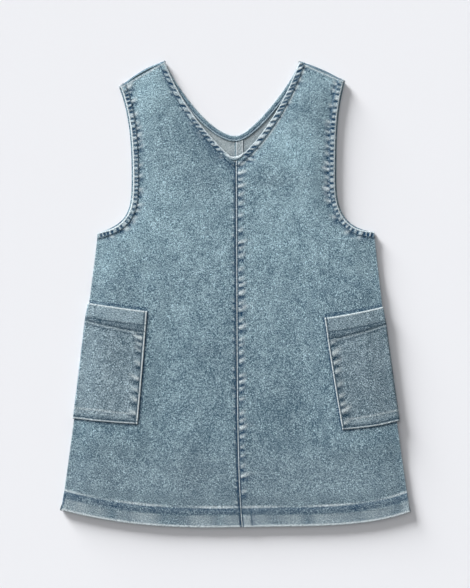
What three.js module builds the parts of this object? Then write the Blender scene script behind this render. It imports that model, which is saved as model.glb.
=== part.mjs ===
// A small child's pinafore dress in light stretch denim, laid flat on its back on a table.
// It is cut as two fronts and two backs, joined by a centre front and a centre back seam, with a
// turned hem round the neck, armholes and skirt, and two patch pockets that wrap round the side seams.
// Units are millimetres. +X is the viewer's right, +Y runs from the hem to the shoulders, and +Z is
// up off the table. The origin is the middle of the dress, on the table.
import * as THREE from "three";

// Driving dimensions: the cloth
const cloth = 1.2; // one layer of denim
const turned = 1.0; // what a turned hem or a seam allowance adds to it
const seamGap = 0.3; // between pieces that are sewn together or lie on each other
const loft = 2.2; // how far the front stands off the back inside its edges
const rollWidth = 26; // the front comes down to its edges over this width
const foldRound = 0.4; // a folded edge is this much lower than the hem behind it
const foldWidth = 1.6;

// The seams and hems
const seamAllowance = 10;
const edgeHem = 6; // round the neck and the armholes
const skirtHem = 20;
const slope = 1.2; // width of the slope at the edge of a hem or an allowance
const puckerHeight = 0.4; // ripples that the stitching draws up beside a seam or a hem
const puckerReach = 7;

// The outline
const hemCentreY = -249.5;
const frontNeckY = 142.8; // lowest point of the V
const backNeckY = 169.7;
const armholeShow = 1.7; // the back's armhole lies this far outside the front's
const seamX = (y) => 0.6 + 0.004 * (frontNeckY - y) + 5 * Math.exp((hemCentreY - y) / 52);

const bezier = (...points) =>
  new THREE.CubicBezierCurve(...points.map(([x, y]) => new THREE.Vector2(x, y)));

function joined(...curves) {
  const path = new THREE.CurvePath();
  curves.forEach((curve) => path.add(curve));
  return path;
}

// Each half of the dress as it lies, with x measured outwards from the middle. crown is how far the
// back comes over the shoulder, halfway along it. A pocket's mouth and foot have their height at the
// side seam, the drop of that row from the side to the centre, the pocket's width in front of the side
// seam and how far it stands off the seam as it wraps round.
const halves = {
  left: {
    sign: -1,
    hemCorner: { x: 186, y: -231.2 },
    sideBow: 0.8,
    hemBend: 2.6,
    hemSag: 1.2,
    backShow: 1.2,
    crown: 3.4,
    mouth: { side: -11, drop: 8, width: 62.7, proud: 1.6 },
    foot: { side: -133, drop: 8, width: 68.2, proud: 0.4 },
    armhole: joined(
      bezier([147.2, 65.3], [115.5, 76.5], [111.1, 87.5], [111.1, 122.2]),
      bezier([111.1, 122.2], [111.1, 155.5], [112.3, 190.3], [124.6, 221.6]),
    ),
    frontNeck: bezier([-0.6, frontNeckY], [32.4, 170.8], [60.5, 208.9], [75.4, 249.3]),
    backNeck: bezier([-0.5, backNeckY], [27.7, backNeckY], [66.3, 227.6], [75.7, 249.9]),
  },
  right: {
    sign: 1,
    hemCorner: { x: 187.2, y: -233 },
    sideBow: 2,
    hemBend: 4.2,
    hemSag: -0.8,
    backShow: 0,
    crown: 2,
    mouth: { side: -14, drop: 13, width: 62.7, proud: 0.8 },
    foot: { side: -136, drop: 10.5, width: 58.8, proud: 2.2 },
    armhole: joined(
      bezier([148.8, 66.6], [116, 71], [108.3, 90.2], [108.3, 122.2]),
      bezier([108.3, 122.2], [108.3, 157.5], [107.9, 193.9], [117.7, 227.8]),
    ),
    frontNeck: bezier([0.6, frontNeckY], [32.8, 170.4], [54.4, 210], [68.6, 248.9]),
    backNeck: bezier([0.5, backNeckY], [17.7, backNeckY], [64.5, 230.9], [68.7, 249.5]),
  },
};

// The two layers: how far up the armhole their rows reach the neck point, and the front's inset there
const layers = {
  front: { neck: "frontNeck", neckY: frontNeckY, armShare: 0.45, inset: armholeShow },
  back: { neck: "backNeck", neckY: backNeckY, armShare: 0.6, inset: 0 },
};

const denim = { colour: 0x7c97a5, roughness: 0.92 };
const pocketDenim = { colour: 0x82959f, roughness: 0.92 };

const mix = THREE.MathUtils.lerp;
const smooth = (t) => THREE.MathUtils.smoothstep(t, 0, 1);
const clamp01 = (t) => THREE.MathUtils.clamp(t, 0, 1);

// Level rows across a half panel, from the hem up. side and seam are heights on the side seam and on
// the centre seam, arm and neck are shares of the armhole and of the neckline, and rows is how many
// rows lie from this one to the next.
function stationsOf(half, layer) {
  const { hemCorner, mouth, foot } = half;
  const hemTop = skirtHem + slope;
  const pocketHem = skirtHem;
  const level = (name, side, seam, rows) => ({ name, side, seam, rows });
  return [
    level("hem fold", hemCorner.y, hemCentreY, 1),
    level("hem roll", hemCorner.y + foldWidth, hemCentreY + foldWidth, 2),
    level("hem edge", hemCorner.y + skirtHem, hemCentreY + skirtHem, 1),
    level("above hem", hemCorner.y + hemTop, hemCentreY + hemTop, 8),
    level("pocket foot", foot.side, foot.side - foot.drop, 10),
    level("pocket hem edge", mouth.side - pocketHem, mouth.side - pocketHem - mouth.drop, 1),
    level("in pocket hem", mouth.side - pocketHem + slope, mouth.side - pocketHem + slope - mouth.drop, 2),
    level("pocket mouth", mouth.side, mouth.side - mouth.drop, 9),
    { name: "underarm", arm: 0, seam: 60, rows: 14 },
    { name: "neck point", arm: layer.armShare, neck: 0, rows: 16 },
    { name: "shoulder", arm: 1, neck: 1, rows: 0 },
  ];
}

// How many rows up from the hem a named station is
function rowOf(name) {
  let row = 0;
  for (const station of stationsOf(halves.left, layers.front)) {
    if (station.name === name) return row;
    row += station.rows;
  }
  throw new Error("no station named " + name);
}

const hemEdge = rowOf("hem edge");
const pocketFoot = rowOf("pocket foot");
const pocketHemEdge = rowOf("pocket hem edge");
const pocketMouth = rowOf("pocket mouth");
const underarmRow = rowOf("underarm");
const neckRow = rowOf("neck point");
const shoulderRow = rowOf("shoulder");

function sidePoint(half, layer, y) {
  const { hemCorner } = half;
  const top = half.armhole.getPointAt(0);
  const share = (y - hemCorner.y) / (top.y - hemCorner.y);
  const bow = half.sideBow * Math.sin(Math.PI * share);
  const show = layer === layers.back ? half.backShow * Math.exp((hemCorner.y - y) / 12) : 0;
  return new THREE.Vector2(mix(hemCorner.x, top.x, share) - bow + show, y);
}

function armholePoint(half, layer, share) {
  const point = half.armhole.getPointAt(share);
  const along = half.armhole.getTangentAt(share);
  const inset = layer.inset * smooth(share / 0.12);
  return new THREE.Vector2(point.x - along.y * inset, point.y + along.x * inset);
}

// One row of a half panel at any height: its two ends and what lies along it
function rowAt(half, layer, row) {
  const stations = stationsOf(half, layer);
  let from = 0;
  let k = 0;
  while (k + 2 < stations.length && row >= from + stations[k].rows) from += stations[k++].rows;
  const low = stations[k];
  const high = stations[k + 1];
  const share = (row - from) / low.rows;
  const onArm = low.arm !== undefined;
  const onNeck = low.neck !== undefined;
  const armShare = onArm ? mix(low.arm, high.arm, share) : 0;
  const neckShare = onNeck ? mix(low.neck, high.neck, share) : 0;
  const underarmY = half.armhole.getPointAt(0).y;
  const outer = onArm
    ? armholePoint(half, layer, armShare)
    : sidePoint(half, layer, mix(low.side, high.side ?? underarmY, share));
  const seamY = onNeck ? 0 : mix(low.seam, high.seam ?? layer.neckY, share);
  const neck = half[layer.neck].getPointAt(neckShare);
  const innerX = onNeck ? half.sign * neck.x : seamX(seamY);
  const inner = new THREE.Vector2(innerX + (half.sign * seamGap) / 2, onNeck ? neck.y : seamY);
  outer.x *= half.sign;
  const belowMouth = clamp01((half.mouth.side + 60 - outer.y) / 60);
  const belowFoot = clamp01((half.foot.side - outer.y) / (half.foot.side - half.hemCorner.y));
  const up = (outer.y - half.foot.side) / (half.mouth.side - half.foot.side);
  return {
    row,
    inner,
    outer,
    onArm,
    onNeck,
    armShare,
    neckShare,
    bend: mix(1, half.hemBend, onArm ? 0 : belowMouth),
    sag: half.hemSag * belowFoot,
    crown: layer === layers.back ? half.crown * smooth((armShare - 0.8) / 0.2) : 0,
    pocketUp: clamp01(up),
    pocketWidth: mix(half.foot.width, half.mouth.width, clamp01(up)),
    width: inner.distanceTo(outer),
  };
}

// A point of a row in plan, at a distance from the centre seam or the neck edge
function inPlan(row, distance) {
  const share = distance / row.width;
  const x = mix(row.inner.x, row.outer.x, share);
  const y = mix(row.inner.y, row.outer.y, Math.pow(share, row.bend));
  return { x, y: y + (row.crown - row.sag) * Math.sin(Math.PI * share) };
}

// Widths of the turned bands at the two ends of a row
function bandsOf(row) {
  const inner = row.onNeck ? mix(seamAllowance, edgeHem, clamp01(row.neckShare * 6)) : seamAllowance;
  const outer = row.onArm ? mix(seamAllowance, edgeHem, clamp01(row.armShare * 6)) : seamAllowance;
  return { inner, outer };
}

// Distances at which a panel's upper face has its columns. The pocket's front edge is one of them.
function columnsOf(row) {
  const bands = bandsOf(row);
  const first = bands.inner + slope;
  const last = row.width - bands.outer - slope;
  const room = last - first - 2 * puckerReach;
  const edge = row.width - Math.min(row.pocketWidth, bands.outer + slope + puckerReach + 0.45 * room);
  return [
    0,
    foldWidth,
    bands.inner,
    first,
    first + puckerReach,
    mix(first + puckerReach, edge, 0.5),
    edge,
    mix(edge, last - puckerReach, 0.5),
    last - puckerReach,
    last,
    row.width - bands.outer,
    row.width - foldWidth,
    row.width,
  ];
}
const innerColumns = [0, 1, 2, 3, 4];
const edgeColumn = 6;
const outerColumns = [8, 9, 10, 11, 12];

// Share of a raised band: full up to its width, and gone one slope further on
const band = (distance, width) => clamp01((width + slope - distance) / slope);
const fold = (distance) => foldRound * clamp01(1 - distance / foldWidth);

// Both layers are lifted where the pocket's back lies under them
const pocketBack = 52; // from the side seam to the pocket's back edge, under the dress
const liftMargin = 14;
const liftFade = 26;

function pocketLift(half, row, distance) {
  const fromSide = row.width - distance;
  const y = row.outer.y;
  const reach = liftMargin + liftFade;
  const along = smooth((pocketBack + reach - fromSide) / liftFade);
  const below = smooth((y - half.foot.side + reach) / liftFade);
  const above = smooth((half.mouth.side + reach - y) / liftFade);
  return (cloth + seamGap) * along * below * above;
}

// Height of the front's underside over the table
function frontUnderside(half, row, distance) {
  const { y } = inPlan(row, distance);
  const fromNeck = row.onNeck ? distance : Math.hypot(distance, frontNeckY - y);
  const share =
    smooth((row.width - distance) / rollWidth) *
    smooth(fromNeck / rollWidth) *
    smooth((row.inner.y - hemCentreY) / (1.5 * rollWidth)) *
    smooth(((1 - row.neckShare) * 120) / rollWidth);
  return cloth + turned + seamGap + pocketLift(half, row, distance) + loft * share;
}

// What hems, the seam allowance and puckers add to the front's face
function frontRelief(half, row, distance) {
  const bands = bandsOf(row);
  const fromSide = row.width - distance;
  const onSeam = !row.onNeck && half === halves.right;
  const raised = Math.max(
    clamp01(hemEdge + 1 - row.row),
    row.onNeck || onSeam ? band(distance, bands.inner) : 0,
    row.onArm ? band(fromSide, bands.outer) : 0,
  );
  const nearInner = row.onNeck || onSeam ? clamp01((bands.inner + slope + 4 - distance) / 4) : 0;
  const nearOuter = row.onArm ? clamp01((bands.outer + slope + 4 - fromSide) / 4) : 0;
  const clear = row.row > hemEdge + 1 && row.row < shoulderRow ? 1 : 0;
  const ripple = puckerHeight * Math.cos(2 * Math.PI * row.row) * Math.max(nearInner, nearOuter);
  const folded = Math.max(
    row.onNeck ? fold(distance) : 0,
    row.onArm ? fold(fromSide) : 0,
    row.row === 0 ? foldRound : 0,
  );
  return turned * raised + ripple * clear - folded;
}

function frontTop(half, row, distance) {
  return frontUnderside(half, row, distance) + cloth + frontRelief(half, row, distance);
}

// Heights of the back, which lies on the table with its hems and allowances turned up
function backTop(half, row, distance) {
  const bands = bandsOf(row);
  const fromSide = row.width - distance;
  const onSeam = !row.onNeck && half === halves.right;
  const raised = Math.max(
    clamp01(hemEdge + 1 - row.row),
    row.onNeck || onSeam ? band(distance, bands.inner) : 0,
    band(fromSide, bands.outer),
    row.row === shoulderRow ? 1 : 0,
  );
  const folded = Math.max(row.onNeck ? fold(distance) : 0, row.row === 0 ? foldRound : 0);
  return pocketLift(half, row, distance) + cloth + turned * raised - folded;
}

// Row numbers from one to another, at even steps. The slope of the pocket hem has none within it.
function rowNumbers(from, to, step) {
  const numbers = [];
  for (let row = from; row < to; row += step) numbers.push(row);
  return [...numbers, to].filter((row) => row <= pocketHemEdge || row >= pocketHemEdge + 1);
}

// One face of a panel as columns of points, each with its row number and its share across
function face(half, layer, height, distances, rowsOfColumn) {
  const count = distances(rowAt(half, layer, 0)).length;
  return Array.from({ length: count }, (_, j) =>
    rowsOfColumn(j).map((number) => {
      const row = rowAt(half, layer, number);
      const distance = distances(row)[j];
      const { x, y } = inPlan(row, distance);
      return { row: number, share: distance / row.width, at: [x, y, height(half, row, distance)] };
    }),
  );
}

// A closed wall between an outer and an inner face. The two have the same outline, but each may have
// its own columns, and each column its own rows.
function wall(outer, inner, sign) {
  const points = [];
  const index = [];
  for (const column of [...outer, ...inner]) {
    for (const point of column) {
      point.index = points.length / 3;
      points.push(...point.at);
    }
  }
  // The left half is the mirror image, so its triangles turn the other way
  const triangle = (a, b, c) => {
    const corners = sign > 0 ? [a, b, c] : [a, c, b];
    index.push(...corners.map((corner) => corner.index));
  };
  // Triangles between two lines of points that run the same way, with the first on the left
  const strip = (left, right, key) => {
    let i = 0;
    let j = 0;
    while (i + 1 < left.length || j + 1 < right.length) {
      const nextLeft = i + 1 < left.length ? left[i + 1][key] : Infinity;
      const nextRight = j + 1 < right.length ? right[j + 1][key] : Infinity;
      if (nextLeft <= nextRight) triangle(left[i], right[j], left[++i]);
      else triangle(left[i], right[j], right[++j]);
    }
  };
  outer.slice(1).forEach((column, j) => strip(outer[j], column, "row"));
  inner.slice(1).forEach((column, j) => strip(column, inner[j], "row"));
  strip(inner[0], outer[0], "row");
  strip(outer.at(-1), inner.at(-1), "row");
  strip(outer.map((c) => c[0]), inner.map((c) => c[0]), "share");
  strip(inner.map((c) => c.at(-1)), outer.map((c) => c.at(-1)), "share");
  const geometry = new THREE.BufferGeometry();
  geometry.setAttribute("position", new THREE.Float32BufferAttribute(points, 3));
  geometry.setIndex(index);
  geometry.computeVertexNormals();
  return geometry;
}

function mesh(name, geometry, finish) {
  const material = new THREE.MeshStandardMaterial({
    color: finish.colour,
    roughness: finish.roughness,
    metalness: 0,
  });
  const made = new THREE.Mesh(geometry, material);
  made.name = name;
  return made;
}

// A face that no turned band shows on has every second column, and below the underarm every second row
const plainColumns = (row) => columnsOf(row).filter((_, j) => j % 2 === 0);
const plainRows = [...rowNumbers(0, underarmRow - 2, 2), ...rowNumbers(underarmRow, shoulderRow, 1)];

function front(name, half) {
  const rippled = half === halves.right ? hemEdge + 1 : neckRow;
  const rowsOfColumn = (j) => {
    const fineFrom = innerColumns.includes(j)
      ? rippled
      : outerColumns.includes(j)
        ? underarmRow
        : shoulderRow;
    return [...rowNumbers(0, fineFrom - 1, 1), ...rowNumbers(fineFrom, shoulderRow, 0.5)];
  };
  const outer = face(half, layers.front, frontTop, columnsOf, rowsOfColumn);
  const inner = face(half, layers.front, frontUnderside, plainColumns, () => plainRows);
  return mesh(name, wall(outer, inner, half.sign), denim);
}

function back(name, half) {
  const rows = [0, 1, hemEdge, ...plainRows.filter((row) => row > hemEdge)];
  const outer = face(half, layers.back, backTop, columnsOf, () => rows);
  const inner = face(half, layers.back, pocketLift, plainColumns, () => plainRows);
  return mesh(name, wall(outer, inner, half.sign), denim);
}

// A patch pocket: it lies on the front, wraps round the side seam and goes on under the back. Its
// mouth is hemmed, and its front edge and foot are turned under.
function pocket(name, half) {
  const pocketTurn = 8;
  const turnedUnder = 0.6;
  const wrap = [30, 65, 90, 115, 150, 180]; // degrees round the side seam
  const underDress = [12, 32, pocketBack];
  const distances = (row) => {
    const [edge, ...rest] = columnsOf(row).slice(edgeColumn);
    return [edge, edge + foldWidth, edge + pocketTurn, edge + pocketTurn + slope, ...rest];
  };
  const fineColumns = [0, 1, 2, 3];
  const column = (number, j, outside) => {
    const row = rowAt(half, layers.front, number);
    const onFront = distances(row);
    const proud = mix(half.foot.proud, half.mouth.proud, row.pocketUp);
    const hemmed = number > pocketHemEdge ? 0.8 * turned : 0;
    const side = { ...inPlan(row, row.width), z: frontTop(half, row, row.width) + seamGap };
    if (j < onFront.length) {
      const fromEdge = onFront[j] - onFront[0];
      const { x, y } = inPlan(row, onFront[j]);
      const ripple = fineColumns.includes(j) ? 0.5 * puckerHeight * Math.cos(2 * Math.PI * number) : 0;
      const inFoot = number < pocketFoot + 1 ? turnedUnder : 0;
      const under = Math.max(turnedUnder * band(fromEdge, pocketTurn), inFoot, hemmed);
      const lies = frontTop(half, row, onFront[j]) + seamGap;
      return [x, y, lies + (outside ? cloth + under + ripple - fold(fromEdge) : 0)];
    }
    const k = j - onFront.length;
    if (k < wrap.length) {
      const angle = THREE.MathUtils.degToRad(wrap[k]);
      const middle = (side.z + cloth) / 2;
      const half2 = (side.z - cloth) / 2;
      const reach = (proud + (outside ? cloth : 0)) * Math.sin(angle);
      const thick = !outside ? 0 : wrap[k] < 90 ? cloth + hemmed : cloth;
      return [side.x + half.sign * reach, side.y, middle + (half2 + thick) * Math.cos(angle)];
    }
    const { x, y } = inPlan(row, row.width - underDress[k - wrap.length]);
    return [x, y, outside ? 0 : cloth];
  };
  const count = distances(rowAt(half, layers.front, pocketFoot)).length + wrap.length + underDress.length;
  const layer = (outside) =>
    Array.from({ length: count }, (_, j) =>
      rowNumbers(pocketFoot, pocketMouth, outside && fineColumns.includes(j) ? 0.5 : 1).map((row) => ({
        row,
        share: j,
        at: column(row, j, outside),
      })),
    );
  return mesh(name, wall(layer(true), layer(false), half.sign), pocketDenim);
}

const dress = new THREE.Group();
dress.add(
  front("front_left", halves.left),
  front("front_right", halves.right),
  back("back_left", halves.left),
  back("back_right", halves.right),
  pocket("pocket_left", halves.left),
  pocket("pocket_right", halves.right),
);

export default dress;
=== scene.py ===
import math

import bmesh
import bpy
import numpy as np
from mathutils import Matrix, Vector
from mathutils.bvhtree import BVHTree


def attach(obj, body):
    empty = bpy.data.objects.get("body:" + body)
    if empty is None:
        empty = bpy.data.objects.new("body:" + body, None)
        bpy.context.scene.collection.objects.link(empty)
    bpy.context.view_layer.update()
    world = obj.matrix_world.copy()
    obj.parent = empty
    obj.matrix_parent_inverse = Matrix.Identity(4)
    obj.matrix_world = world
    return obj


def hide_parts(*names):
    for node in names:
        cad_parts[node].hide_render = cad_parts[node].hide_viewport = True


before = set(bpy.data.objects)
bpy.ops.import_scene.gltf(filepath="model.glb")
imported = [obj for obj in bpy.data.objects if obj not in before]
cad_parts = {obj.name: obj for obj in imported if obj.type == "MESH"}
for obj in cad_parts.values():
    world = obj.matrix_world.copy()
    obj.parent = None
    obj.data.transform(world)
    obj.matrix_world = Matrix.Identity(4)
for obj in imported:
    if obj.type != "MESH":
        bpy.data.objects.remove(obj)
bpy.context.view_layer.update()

# ---------------------------------------------------------------------------------------------
# The two fronts
# Washed stretch denim, each cut in one piece from the shoulder to the hem and joined at the centre
# front seam. The neck and armhole edges are turned under 6 mm and the hem 20 mm, then stitched, which
# ropes the turned edges and draws the cloth into small puckers beside every line of stitching.
# Everything is worked out in millimetres, with x measured outwards from the middle of the dress.
cloth = 0.85
hem_centre_y = -249.5
front_neck_y = 142.8
back_neck_y = 169.7
hem_heights = [0, 1.6, 20, 21.2]  # the fold, the flat band, and the step down to the panel
mouth_hem = [20, 18.8]  # the same step, under the pocket's mouth
row_levels = [0, 1, 3, 4, 12, 22, 23, 25, 34, 48, 64]  # hem, pocket, underarm, neck point, shoulder
foot_row, mouth_row, underarm_row, neck_row, shoulder_row = 12, 25, 34, 48, 64
shoulder_step = 7.2  # height of a row near the shoulder
pocket_lift = 1.5  # what a pocket beneath raises the dress by


def smooth(t):
    t = np.clip(t, 0, 1)
    return t * t * (3 - 2 * t)


def ridge(distance, at, width):
    return np.exp(-(((distance - at) / width) ** 2))


def between(distance, low, high, soft):
    return smooth((distance - low) / soft + 0.5) * smooth((high - distance) / soft + 0.5)


def drawn_edge(*arcs):
    """Cubic arcs end to end, as points with their length along the edge."""
    t = np.linspace(0, 1, 181)[:, None]
    runs = []
    for a, b, c, d in np.array(arcs, float):
        run = (1 - t) ** 3 * a + 3 * (1 - t) ** 2 * t * b + 3 * (1 - t) * t * t * c + t**3 * d
        runs.append(run[1:] if runs else run)
    points = np.vstack(runs)
    steps = np.hypot(*np.diff(points, axis=0).T)
    return {"points": points, "length": np.concatenate([[0], np.cumsum(steps)])}


def at_share(edge, share):
    s = np.asarray(share) * edge["length"][-1]
    x, y = edge["points"].T

    def place(s):
        return np.stack([np.interp(s, edge["length"], x), np.interp(s, edge["length"], y)], -1)

    way = place(s + 0.4) - place(s - 0.4)
    return place(s), way / np.hypot(way[..., 0], way[..., 1])[..., None]


def nearest(points, edge):
    """How far points lie from an edge, and how far along it."""
    ends, length = edge["points"][::3], edge["length"][::3]
    a, run = ends[:-1], np.diff(ends, axis=0)
    size = np.maximum((run**2).sum(1), 1e-9)
    far, along = np.empty(len(points)), np.empty(len(points))
    for k in range(0, len(points), 5000):
        p = points[k : k + 5000, None, :]
        t = np.clip(((p - a) * run).sum(2) / size, 0, 1)
        gap = np.hypot(*np.moveaxis(p - a - t[..., None] * run, 2, 0))
        best = gap.argmin(1)
        pick = np.arange(len(best))
        far[k : k + 5000] = gap[pick, best]
        along[k : k + 5000] = length[best] + t[pick, best] * np.sqrt(size[best])
    return far, along


def seam_x(y):
    return 0.6 + 0.004 * (front_neck_y - y) + 5 * np.exp((hem_centre_y - y) / 52)


left = {
    "sign": -1, "hem_corner": (186, -231.2), "side_bow": 0.8, "hem_bend": 2.6, "hem_sag": 1.2,
    "back_show": 1.2, "crown": 3.4,
    "mouth": {"side": -9.4, "drop": 16.4, "width": 62.7, "proud": 1.6},
    "foot": {"side": -133, "drop": 8, "width": 68.2, "proud": 0.4},
    "armhole": drawn_edge(
        [(147.2, 65.3), (115.5, 76.5), (111.1, 87.5), (111.1, 122.2)],
        [(111.1, 122.2), (111.1, 155.5), (112.3, 190.3), (124.6, 221.6)],
    ),
    "front_neck": drawn_edge([(-0.6, front_neck_y), (32.4, 170.8), (60.5, 208.9), (75.4, 249.3)]),
    "back_neck": drawn_edge([(-0.5, back_neck_y), (27.7, back_neck_y), (66.3, 227.6), (75.7, 249.9)]),
}
right = {
    "sign": 1, "hem_corner": (187.2, -233), "side_bow": 2, "hem_bend": 4.2, "hem_sag": -0.8,
    "back_show": 0, "crown": 2,
    "mouth": {"side": -13.4, "drop": 18.3, "width": 62.7, "proud": 0.8},
    "foot": {"side": -136, "drop": 10.5, "width": 58.8, "proud": 2.2},
    "armhole": drawn_edge(
        [(148.8, 66.6), (116, 71), (108.3, 90.2), (108.3, 122.2)],
        [(108.3, 122.2), (108.3, 157.5), (107.9, 193.9), (117.7, 227.8)],
    ),
    "front_neck": drawn_edge([(0.6, front_neck_y), (32.8, 170.4), (54.4, 210), (68.6, 248.9)]),
    "back_neck": drawn_edge([(0.5, back_neck_y), (17.7, back_neck_y), (64.5, 230.9), (68.7, 249.5)]),
}
front_layer = {
    "neck": "front_neck", "neck_y": front_neck_y, "arm_share": 0.45, "inset": 1.7, "fine": 12.0, "ease": 14,
}
back_layer = {
    "neck": "back_neck", "neck_y": back_neck_y, "arm_share": 0.5, "inset": 0, "fine": 12.0, "ease": 20,
}


def armhole_at(half, layer, share):
    """Places along a layer's armhole. The fronts' lies a little inside the backs'."""
    at, way = at_share(half["armhole"], share)
    inset = layer["inset"] * smooth(share / 0.12)
    return at + np.stack([-way[:, 1], way[:, 0]], -1) * inset[:, None], way


def level_rows(half, layer, rows):
    """Both ends of level rows across a half panel, and which way the cloth lies from each end."""
    hem_x, hem_y = half["hem_corner"]
    mouth, foot = half["mouth"], half["foot"]
    underarm = half["armhole"]["points"][0]
    side = [hem_y + h for h in hem_heights]
    side += [foot["side"], *(mouth["side"] - h for h in mouth_hem), mouth["side"], underarm[1]]
    seam = [hem_centre_y + h for h in hem_heights]
    seam += [foot["side"] - foot["drop"], *(mouth["side"] - h - mouth["drop"] for h in mouth_hem)]
    seam += [mouth["side"] - mouth["drop"], 60, layer["neck_y"]]
    side_y = np.interp(rows, row_levels[:9], side)
    seam_y = np.interp(rows, row_levels[:10], seam)
    arm_share = np.interp(rows, [underarm_row, neck_row, shoulder_row], [0, layer["arm_share"], 1])
    neck_share = np.interp(rows, [neck_row, shoulder_row], [0, 1])
    share = (side_y - hem_y) / (underarm[1] - hem_y)
    side_x = hem_x + (underarm[0] - hem_x) * share - half["side_bow"] * np.sin(np.pi * share)
    if layer is back_layer:
        side_x = side_x + half["back_show"] * np.exp((hem_y - side_y) / 12)
    arm_at, arm_way = armhole_at(half, layer, arm_share)
    on_arm, on_neck = rows >= underarm_row, rows >= neck_row
    outer = np.where(on_arm[:, None], arm_at, np.stack([side_x, side_y], -1))
    neck_at, neck_way = at_share(half[layer["neck"]], neck_share)
    seam_at = np.stack([half["sign"] * seam_x(seam_y) + 0.08, seam_y], -1)
    inner = np.where(on_neck[:, None], neck_at + [0.08, 0], seam_at)
    width = np.hypot(*(outer - inner).T)

    def into_cloth(ends, way, turn, ease):
        # the direction square to an edge, eased round its corner
        square = np.stack([turn * way[:, 1], -turn * way[:, 0]], -1)
        s = np.concatenate([[0], np.cumsum(np.hypot(*np.diff(ends, axis=0).T))])
        steps = (square[1:] + square[:-1]) / 2 * np.diff(s)[:, None]
        total = np.concatenate([[[0, 0]], np.cumsum(steps, axis=0)])
        s_wide = np.concatenate([[s[0] - ease], s, [s[-1] + ease]])
        total = np.vstack([total[0] - ease * square[0], total, total[-1] + ease * square[-1]])
        eased = [np.interp(s + ease, s_wide, t) - np.interp(s - ease, s_wide, t) for t in total.T]
        eased = np.stack(eased, -1)
        return eased / np.hypot(*eased.T)[:, None], s

    up = np.tile([0.0, 1.0], (len(rows), 1))
    inner_in, _ = into_cloth(inner, np.where(on_neck[:, None], neck_way, up), 1, layer["ease"])
    outer_in, s_outer = into_cloth(outer, np.where(on_arm[:, None], arm_way, up), -1, 24)
    s_under = np.interp(underarm_row, rows, s_outer)
    squared = smooth((s_outer - s_under + 64) / 58) * smooth((s_outer[-1] - s_outer) / 16)
    pocket_up = np.clip((side_y - foot["side"]) / (mouth["side"] - foot["side"]), 0, 1)
    bend = 1 + (half["hem_bend"] - 1) * np.clip((mouth["side"] + 60 - side_y) / 180, 0, 1)
    below_foot = np.clip((foot["side"] - outer[:, 1]) / (foot["side"] - hem_y), 0, 1)
    crown = half["crown"] * smooth((arm_share - 0.8) / 0.2) * (layer is back_layer)
    return {
        "rows": rows, "fine": layer["fine"], "inner": inner, "outer": outer, "width": width,
        "inner_in": inner_in, "outer_in": outer_in, "squared": squared,
        "on_neck": smooth((rows - neck_row) / 0.8 + 0.5),
        "on_arm": smooth((rows - underarm_row) / 0.8 + 0.5),
        "bend": np.where(on_arm, 1, bend), "rise": crown - half["hem_sag"] * below_foot,
        "seam_y": seam_y, "neck_share": neck_share, "side_y": outer[:, 1], "pocket_up": pocket_up,
        "pocket_width": foot["width"] + (mouth["width"] - foot["width"]) * pocket_up,
    }


def on_rows(lay, from_inner, from_outer, share):
    """Plan points on every row. A column keeps its distance from one edge, or its share between."""
    near = lay["fine"]
    width = lay["width"][:, None]
    a = np.broadcast_to(near / width, from_inner.shape)
    b = 1 - a
    by_inner, by_outer = np.isfinite(from_inner), np.isfinite(from_outer)
    along = np.where(by_inner, from_inner / width,
                     np.where(by_outer, 1 - from_outer / width, a + (b - a) * share))
    within = np.clip(along, 0, 1)
    inner, outer = lay["inner"][:, None, :], lay["outer"][:, None, :]
    x = inner[..., 0] + (outer[..., 0] - inner[..., 0]) * along
    y = inner[..., 1] + (outer[..., 1] - inner[..., 1]) * within ** lay["bend"][:, None]
    ruled = np.stack([x, y + lay["rise"][:, None] * np.sin(np.pi * within)], -1)
    inner_in, outer_in = lay["inner_in"][:, None, :], lay["outer_in"][:, None, :]
    start, end = inner + near * inner_in, outer + near * outer_in
    in_by, out_by, share = (np.nan_to_num(d)[..., None] for d in (from_inner, from_outer, share))
    squared = np.where(by_inner[..., None], inner + in_by * inner_in,
                       np.where(by_outer[..., None], outer + out_by * outer_in,
                                start + (end - start) * share))
    w = lay["squared"][:, None, None]
    return ruled * (1 - w) + squared * w


def even_rows(half, layer, fine_skirt, fine_bodice):
    """Row numbers at even steps up the dress."""
    probe = np.linspace(0, shoulder_row, 3000)
    lay = level_rows(half, layer, probe)
    step = np.hypot(*np.diff(lay["outer"], axis=0).T) + np.hypot(*np.diff(lay["inner"], axis=0).T)
    s = np.concatenate([[0], np.cumsum(step / 2)])
    middle = np.interp(underarm_row, probe, s)
    below = np.linspace(0, middle, int(middle / fine_skirt))[:-1]
    above = np.linspace(middle, s[-1], int((s[-1] - middle) / fine_bodice))
    return np.interp(np.concatenate([below, above]), s, probe)


def over_pocket(half, lay, from_side):
    """1 where the pocket goes on beneath the dress, easing to 0 round it."""
    reach, margin, ease = 92, 40, 26
    y = lay["side_y"][:, None]
    return (smooth((reach - from_side) / ease) * smooth((y - half["foot"]["side"] + margin) / ease)
            * smooth((half["mouth"]["side"] + margin - y) / ease))


def level_of_front(half, lay, from_side, from_neck):
    """Height of the front's face over the table, before its hems and puckers."""
    loft = (smooth(from_side / 26) * smooth(from_neck / 26)
            * smooth((lay["seam_y"][:, None] - hem_centre_y) / 39)
            * smooth((1 - lay["neck_share"][:, None]) * 120 / 26))
    return 3.7 + pocket_lift * over_pocket(half, lay, from_side) + 2.2 * loft


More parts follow.
